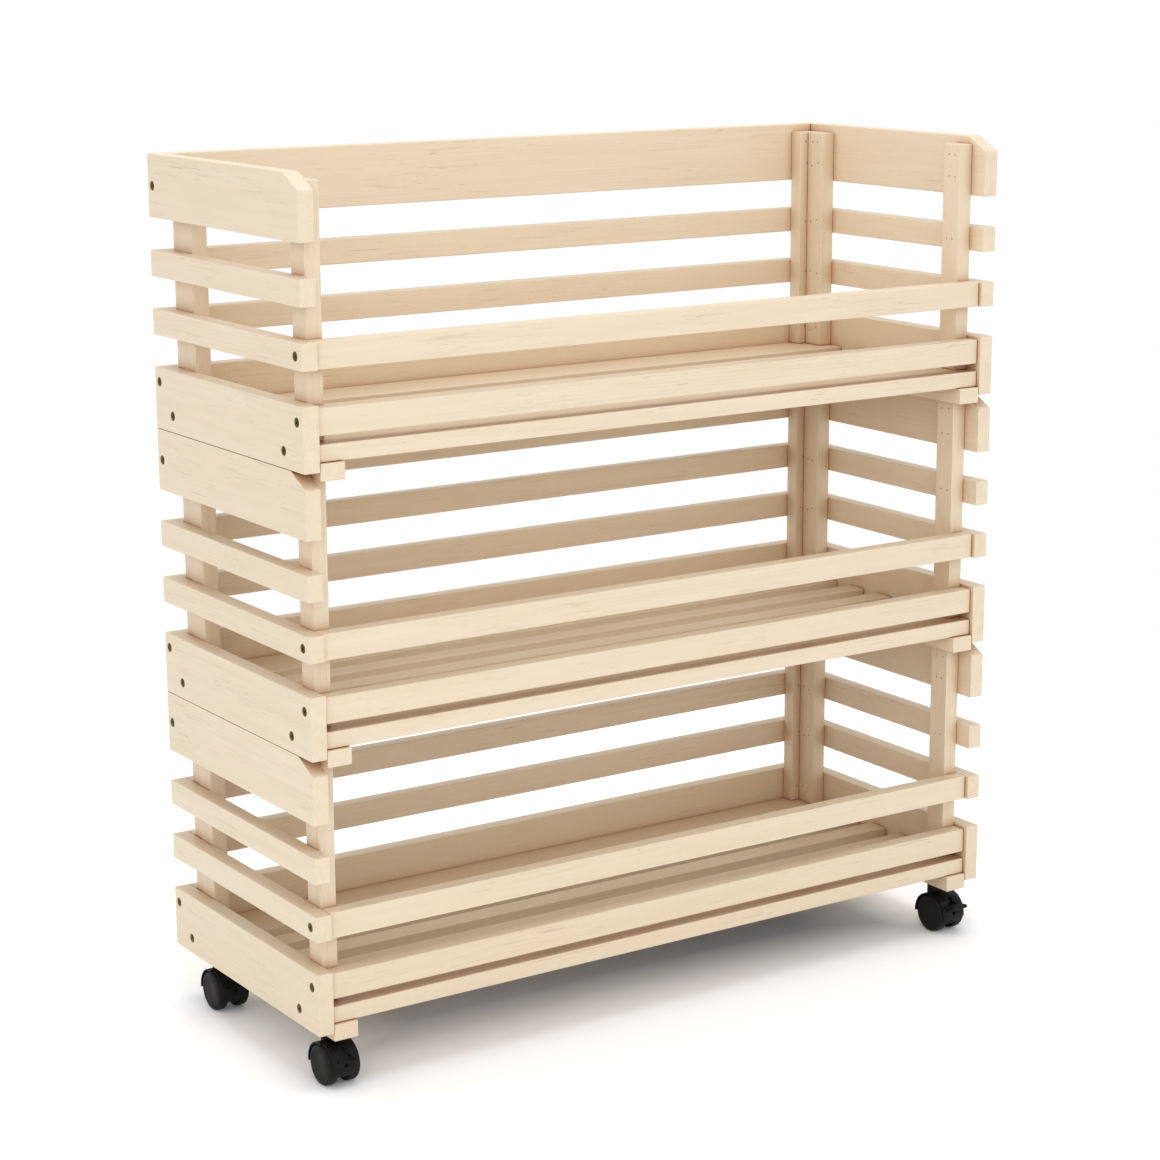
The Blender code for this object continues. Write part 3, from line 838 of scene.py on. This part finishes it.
for crate, corner in corners.items():
    middles = [corner.y + front + NARROW / 2 for front in (FRONT_POST, REAR_POST)]
    for side in ("left", "right"):
        outer, into = outside(crate, side)
        inner = outer + into * 2 * BOARD
        add_nails(crate, side, [(inner, middle, 0) for middle in middles], 1, corner)
    low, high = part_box(f"{crate}_back_panel")
    inset = BACK_POST_INSET + NARROW / 2
    middles = (low.x + inset, high.x - inset)
    add_nails(crate, "back", [(middle, low.y, 0) for middle in middles], 0, corner)

# %% [markdown]
# ## Plastic and steel of the casters
#
# The hoods, wheels and pedals are black nylon with a fine moulded texture, a little glossier where
# hands and floors polish it. The pedals are painted a shade darker than the hoods, painted shade
# that keeps the lit front edge of the tread plate from showing as a light line. The pins are turned
# steel, drawn out in fine rings. Both are one colour from afar, so the work is in roughness and in
# a very small bump.

# %% Moulded plastic
def moulded_plastic(name, colour, worn, roughness):
    """Black plastic with moulded texture, from the part's own coordinates."""
    material, tree, shader = new_material(name)
    spot = node(tree, "TexCoord").outputs["Object"]
    texture = noise(tree, spot, (1400, 1400, 1400), 2, 0.6)
    smears = noise(tree, spot, (60, 60, 60), 3, 0.55)
    mixed = blend_colours(tree, ramp(tree, smears, 0.4, 0.75, 0, 0.6), (*colour, 1), (*worn, 1))
    tree.links.new(mixed, shader.inputs["Base Color"])
    dull = ramp(tree, smears, 0.3, 0.7, roughness - 0.06, roughness + 0.08)
    tree.links.new(dull, shader.inputs["Roughness"])
    shader.inputs["Specular IOR Level"].default_value = 0.18
    pebbled = node(tree, "Bump", {"Strength": 0.12, "Distance": 0.00008, "Height": texture})
    tree.links.new(pebbled.outputs[0], shader.inputs["Normal"])
    return material


HOOD_BLACK, HOOD_WORN = (0.003, 0.003, 0.0032), (0.006, 0.006, 0.006)
# Painted shade: the pedal's black is darker than the hood's, so that the lit front edge of its
# plate stays dark.
PEDAL_PAINTED_SHADE_BLACK, PEDAL_WORN_PAINTED_SHADE = (0.0012, 0.0012, 0.0012), (0.003, 0.003, 0.003)
WHEEL_BLACK, WHEEL_WORN = (0.0046, 0.0044, 0.0034), (0.0086, 0.0082, 0.0065)

hood_plastic = moulded_plastic("hood_plastic", HOOD_BLACK, HOOD_WORN, 0.44)
pedal_plastic_painted_darker = moulded_plastic("pedal_plastic_painted_darker", PEDAL_PAINTED_SHADE_BLACK, PEDAL_WORN_PAINTED_SHADE, 0.55)
wheel_plastic = moulded_plastic("wheel_plastic", WHEEL_BLACK, WHEEL_WORN, 0.54)
print("plastics:", hood_plastic.name, pedal_plastic_painted_darker.name, wheel_plastic.name)

# %% Turned steel
steel, tree, shader = new_material("turned_steel")
spot = node(tree, "TexCoord").outputs["Object"]
marks = noise(tree, spot, (2500, 2500, 2500), 2)
tree.links.new(ramp(tree, marks, 0.3, 0.7, 0.25, 0.42), shader.inputs["Roughness"])
shader.inputs["Base Color"].default_value = (0.55, 0.55, 0.56, 1)
shader.inputs["Metallic"].default_value = 1
turned = node(tree, "Bump", {"Strength": 0.1, "Distance": 0.00005, "Height": marks})
tree.links.new(turned.outputs[0], shader.inputs["Normal"])
pins = [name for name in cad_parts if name.endswith(("_stem", "_axle"))]
for name in pins:
    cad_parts[name].material_slots[0].material = steel
print("steel pins:", len(pins))

# %% [markdown]
# ## Caster hoods
#
# The hood is one moulding: an arc over both wheels, a web between them and a round boss that turns
# under the crate. It could be sculpted, but it is really a few plain shapes joined and cut, so it
# is made that way: the side outline is drawn as an arc and pushed across, the boss is joined to it,
# and the wheel wells, the peephole, the notch, the wedge-shaped recess that widens downwards and
# the two corners of the front lip are cut. A Bevel then softens what a mould would.

# %% Caster measures
WHEEL_RADIUS = 20 * MM
AXLE = Vector((0, -9.5 * MM, -30 * MM))
HOOD_RADIUS = 22.1 * MM
HOOD_WIDTH = 34 * MM
FRONT_WIDTH = 28.4 * MM
WEB_RADIUS = 15 * MM
WEB_WIDTH = 12.4 * MM
HOOD_REAR = math.radians(-6)
HOOD_FRONT = math.radians(200)
PEDAL_PIVOT = AXLE + Vector((0, -12 * MM, 10 * MM))
ROUND_AXLE = Matrix.Translation(AXLE)
print("a hood's arc spans", round(math.degrees(HOOD_FRONT - HOOD_REAR)), "degrees")

# %% Plain forms
def rod(name, radius, length, axis, centre, steps=64):
    """A cylinder along one axis."""
    turns = {"X": ("Y", math.pi / 2), "Y": ("X", math.pi / 2)}
    turn = Matrix.Identity(4)
    if axis in turns:
        about, angle = turns[axis]
        turn = Matrix.Rotation(angle, 4, about)
    bm = bmesh.new()
    bmesh.ops.create_cone(
        bm,
        cap_ends=True,
        segments=steps,
        radius1=radius,
        radius2=radius,
        depth=length,
        matrix=Matrix.Translation(centre) @ turn,
    )
    return mesh_of(bm, name)


def block(name, low, high, turn=Matrix.Identity(4), narrow_foot=1.0):
    """A box between two corners, then turned. Its foot can be narrower than its top."""
    low, high = Vector(low), Vector(high)
    bm = bmesh.new()
    bmesh.ops.create_cube(bm, size=1, matrix=Matrix.Diagonal((*(high - low), 1)))
    for vert in bm.verts:
        if vert.co.z < 0:
            vert.co.x *= narrow_foot
    bmesh.ops.transform(bm, matrix=turn @ Matrix.Translation((low + high) / 2), verts=bm.verts)
    return mesh_of(bm, name)


def arc(radius, start, stop, steps):
    """Points of an arc round the axle."""
    turns = [start + (stop - start) * step / steps for step in range(steps + 1)]
    return [(radius * math.cos(turn), radius * math.sin(turn)) for turn in turns]


def pushed_across(name, outline, width):
    """An outline in the Y-Z plane round the axle, as wide as asked."""
    bm = bmesh.new()
    ring = [bm.verts.new((-width / 2, y, z)) for y, z in outline]
    swept = bmesh.ops.extrude_face_region(bm, geom=[bm.faces.new(ring)])
    moved = [item for item in swept["geom"] if isinstance(item, bmesh.types.BMVert)]
    bmesh.ops.translate(bm, verts=moved, vec=(width, 0, 0))
    bmesh.ops.recalc_face_normals(bm, faces=bm.faces)
    bmesh.ops.translate(bm, verts=bm.verts, vec=AXLE)
    return mesh_of(bm, name)


print("plain forms ready")

# %% Joining and softening
def fuse(name, base, added, removed, bevel):
    """Join and cut meshes, then soften the edges that are left."""
    body = bpy.data.objects.new(name, base)
    bpy.context.scene.collection.objects.link(body)
    helpers = []
    for meshes, operation in ((added, "UNION"), (removed, "DIFFERENCE")):
        for mesh in meshes:
            helper = bpy.data.objects.new(mesh.name, mesh)
            bpy.context.scene.collection.objects.link(helper)
            helpers.append(helper)
            step = body.modifiers.new(mesh.name, "BOOLEAN")
            step.object = helper
            step.operation = operation
    soften = body.modifiers.new("softened edges", "BEVEL")
    soften.width = bevel
    soften.segments = 2
    soften.limit_method = "ANGLE"
    soften.angle_limit = math.radians(32)
    bpy.context.view_layer.update()
    graph = bpy.context.evaluated_depsgraph_get()
    mesh = bpy.data.meshes.new_from_object(body.evaluated_get(graph), depsgraph=graph)
    mesh.name = name
    for thing in helpers + [body]:
        bpy.data.objects.remove(thing)
    mesh.materials.clear()
    mesh.shade_smooth()
    mesh.set_sharp_from_angle(angle=math.radians(40))
    return mesh


print("joining ready")

# %% What is cut out of a hood
PAST = 2 * MM
WELL_RADIUS = WHEEL_RADIUS + 0.6 * MM
WELL_WIDTH = 14 * MM
LIP_RISE = 5.6 * MM
LIP_RUN = 6.2 * MM


def wheel_cuts(side):
    """The well of one wheel, and what narrows the hood's front on that side."""
    centre = AXLE + Vector((side * (WEB_WIDTH + WELL_WIDTH) / 2, 0, 0))
    near, far = sorted((side * FRONT_WIDTH / 2, side * (FRONT_WIDTH / 2 + 6 * MM)))
    low = (near, -HOOD_RADIUS - PAST, -HOOD_RADIUS)
    high = (far, -2 * MM, HOOD_RADIUS + PAST)
    well = rod("wheel_well", WELL_RADIUS, WELL_WIDTH, "X", centre, 96)
    return [well, block("front_narrowing", low, high, ROUND_AXLE)]


def recess(name, angle, width, height, depth, narrow_foot=1.0):
    """What sinks into the hood's arc from outside, at an angle round the axle."""
    turn = ROUND_AXLE @ Matrix.Rotation(math.radians(angle), 4, "X")
    low = (-width / 2, HOOD_RADIUS - depth, -height / 2)
    return block(name, low, (width / 2, HOOD_RADIUS + PAST, height / 2), turn, narrow_foot)


def lip_corner(side):
    """What takes one corner off the front lip."""
    lip = HOOD_RADIUS * math.sin(HOOD_FRONT)
    corner = Matrix.Translation((side * FRONT_WIDTH / 2, 0, lip + LIP_RISE))
    slope = Matrix.Rotation(-side * math.atan2(LIP_RISE, LIP_RUN), 4, "Y")
    near, far = sorted((side * 2 * MM, -side * 10.4 * MM))
    low = (near, -HOOD_RADIUS - PAST, -8.4 * MM)
    return block("lip_corner", low, (far, -WEB_RADIUS, 0), ROUND_AXLE @ corner @ slope)


def pedal_cuts():
    """The slot of the pedal's arm, and the bearing of its trunnions."""
    low = (-4.2 * MM, -HOOD_RADIUS - PAST, 6.9 * MM)
    slot = block("pedal_slot", low, (4.2 * MM, -8.9 * MM, 13.45 * MM), ROUND_AXLE)
    return [slot, rod("trunnion_hole", 1.8 * MM, 11.2 * MM, "X", PEDAL_PIVOT, 24)]


print("a wheel well is", round(WELL_WIDTH / MM), "mm wide")

# %% Hoods
PEEPHOLE = AXLE + Vector((0, -HOOD_RADIUS, 3.2 * MM))
HOOD_EDGE = 0.35 * MM


def hood_mesh(name, braked):
    """A hood, with the slot of a pedal where the caster has a brake."""
    outline = arc(HOOD_RADIUS, HOOD_REAR, HOOD_FRONT, 72)
    outline += arc(WEB_RADIUS, HOOD_FRONT, HOOD_REAR + 2 * math.pi, 24)
    body = pushed_across("hood", outline, HOOD_WIDTH)
    boss = rod("boss", 8.5 * MM, 21.7 * MM, "Z", (0, 0, -11.15 * MM), 56)
    cuts = wheel_cuts(-1) + wheel_cuts(1)
    cuts.append(rod("axle_hole", 2.8 * MM, 16 * MM, "X", AXLE, 32))
    cuts.append(rod("stem_bore", 4.3 * MM, 22 * MM, "Z", (0, 0, -9 * MM), 32))
    cuts.append(rod("peephole", 1.8 * MM, 7 * MM, "Y", PEEPHOLE, 24))
    cuts.append(recess("notch", 130.5, 3.6 * MM, 4.6 * MM, 2.5 * MM))
    cuts.append(recess("wedge", 148, 21 * MM, 10.7 * MM, 2.8 * MM, 3.2 / 21))
    cuts += [lip_corner(-1), lip_corner(1)]
    if braked:
        cuts += pedal_cuts()
    mesh = fuse(name, body, [boss], cuts, HOOD_EDGE)
    mesh.materials.append(hood_plastic)
    return mesh


plain_hood = hood_mesh("plain_hood", False)
braked_hood = hood_mesh("braked_hood", True)
print("hood faces:", len(plain_hood.polygons), "and with a slot:", len(braked_hood.polygons))

# %% [markdown]
# ## Wheels
#
# A wheel is turned: half of its section is drawn once, in millimetres from its middle and its axle,
# and spun round the axle. Its outer face is very slightly dished, with a fine groove where the
# tread meets the disc, and the shoulder is rounded so that it rolls over joints in a floor.

# %% Wheels
WHEEL_FACE = [(4.7, 0), (4.75, 4), (5, 9), (5.15, 13.6), (4.85, 13.9), (4.85, 14.3), (5.2, 14.7)]
WHEEL_BACK = [(-4.2, 20), (-4.9, 19.7), (-5.2, 19), (-5.2, 2.8), (2.7, 2.8), (2.7, 0)]
SHOULDER = 3.4


def wheel_section():
    """The section as (x, radius), from the middle of the face over the tread to the axle's end."""
    side, tread = WHEEL_FACE[-1][0] - SHOULDER, WHEEL_BACK[0][1] - SHOULDER
    turns = [math.radians(90) * step / 8 for step in range(9)]
    bends = [(math.cos(turn), math.sin(turn)) for turn in turns]
    rounded = [(side + SHOULDER * x, tread + SHOULDER * up) for x, up in bends]
    return [(x * MM, radius * MM) for x, radius in WHEEL_FACE + rounded + WHEEL_BACK]


def spun(name, section, steps):
    """Spin a section of (x, radius) round the X axis and close it at its ends."""
    bm = bmesh.new()
    points = [bm.verts.new((x, 0, radius)) for x, radius in section]
    line = [bm.edges.new(pair) for pair in zip(points, points[1:])]
    round_x = {"cent": (0, 0, 0), "axis": (1, 0, 0), "angle": 2 * math.pi}
    bmesh.ops.spin(bm, geom=points + line, steps=steps, use_merge=True, **round_x)
    bmesh.ops.remove_doubles(bm, verts=bm.verts, dist=0.002 * MM)
    bmesh.ops.recalc_face_normals(bm, faces=bm.faces)
    return mesh_of(bm, name)


wheel = spun("wheel", wheel_section(), 96)
wheel.materials.append(wheel_plastic)
wheel.shade_smooth()
wheel.set_sharp_from_angle(angle=math.radians(40))
print("wheel faces:", len(wheel.polygons))

# %% [markdown]
# ## Pedals
#
# The pedal is a thin tread plate with a rounded rim, on an arm that rises to the front, and a toe
# presses it down. The plate is built as a stack of outlines, each a little smaller towards the top
# and the foot, because that rounds its rim and its corners at once.

# %% Pedals
RISE = Matrix.Rotation(math.radians(-5.5), 4, "X")
TREAD_WIDTH = 22.7
TREAD_FRONT, TREAD_REAR = -19.85, -9.1
TREAD_CORNER = 2.6
TREAD_RIM = ((-1.6, 0.9), (-1.2, 0.3), (-0.6, 0), (0.6, 0), (1.2, 0.3), (1.6, 0.9))


def tread_outline(inset):
    """The plate's outline in mm, drawn in by an inset at its front and sides."""
    half = TREAD_WIDTH / 2 - inset
    outline = [(-half, TREAD_REAR), (half, TREAD_REAR)]
    for side, start in ((1, 0), (-1, math.pi / 2)):
        for step in range(7):
            turn = start + math.pi / 2 * step / 6
            ahead = TREAD_FRONT + inset + TREAD_CORNER * (1 - math.sin(turn))
            outline.append((side * (half - TREAD_CORNER) + TREAD_CORNER * math.cos(turn), ahead))
    return outline


def tread_plate():
    """The pedal's tread, with rounded corners and edges that a toe slides off."""
    bm = bmesh.new()
    rings = []
    for height, inset in TREAD_RIM:
        outline = tread_outline(inset)
        rings.append([bm.verts.new((x * MM, y * MM, height * MM)) for x, y in outline])
    bm.faces.new(rings[0])
    bm.faces.new(rings[-1])
    for below, above in zip(rings, rings[1:]):
        for step, vert in enumerate(below):
            bm.faces.new((below[step - 1], vert, above[step], above[step - 1]))
    bmesh.ops.recalc_face_normals(bm, faces=bm.faces)
    bmesh.ops.transform(bm, matrix=RISE, verts=bm.verts)
    return mesh_of(bm, "tread_plate")


arm = block("pedal_arm", (-3.8 * MM, -14.5 * MM, -1.3 * MM), (3.8 * MM, 0, 1.3 * MM), RISE)
hub = rod("pedal_hub", 2.8 * MM, 7.6 * MM, "X", (0, 0, 0), 40)
trunnions = rod("trunnions", 1.5 * MM, 10.6 * MM, "X", (0, 0, 0), 24)
pedal = fuse("pedal", hub, [trunnions, arm, tread_plate()], [], 0.6 * MM)
pedal.materials.append(pedal_plastic_painted_darker)
print("pedal faces:", len(pedal.polygons))

# %% [markdown]
# ## The four casters
#
# Each moulding is made once and shown four times. The frame says where every caster stands: a hood
# sits over its stem, each wheel in the middle of its solid with the dished face outwards, and only
# the two casters on the right get a pedal.

# %% Casters
HOOD_GAP = 0.3 * MM

for end in ("front", "rear"):
    for side in ("left", "right"):
        name = f"{end}_{side}"
        low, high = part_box(f"{name}_caster_stem")
        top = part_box(f"{name}_caster_housing")[1].z + HOOD_GAP
        pivot = Vector(((low.x + high.x) / 2, (low.y + high.y) / 2, top))
        hood = braked_hood if side == "right" else plain_hood
        show(f"{name}_hood", hood, f"{name}_swivel", [f"{name}_caster_housing"], pivot)
        for wheel_side, turn in (("left", math.pi), ("right", 0)):
            own = f"{name}_{wheel_side}"
            solid = f"{name}_caster_{wheel_side}_wheel"
            low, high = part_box(solid)
            show(f"{own}_tyre", wheel, f"{own}_wheel", [solid], (low + high) / 2, turn)
        if side == "right":
            solid = f"{name}_brake_pedal"
            show(f"{name}_pedal", pedal, f"{name}_brake", [solid], pivot + PEDAL_PIVOT)
shown = [thing.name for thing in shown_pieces() if thing.name.startswith(("front", "rear"))]
print("caster pieces:", len(shown))

# %% [markdown]
# ## Last look at the size
#
# The surfaces should not make the rack larger than its solids, so the largest difference between
# the two boxes is printed.

# %% Sizes and finish
dressed_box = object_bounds()
pairs = [pair for end in (0, 1) for pair in zip(cad_box[end], dressed_box[end])]
print("largest difference in mm:", round(max(abs(a - b) for a, b in pairs) / MM, 2))
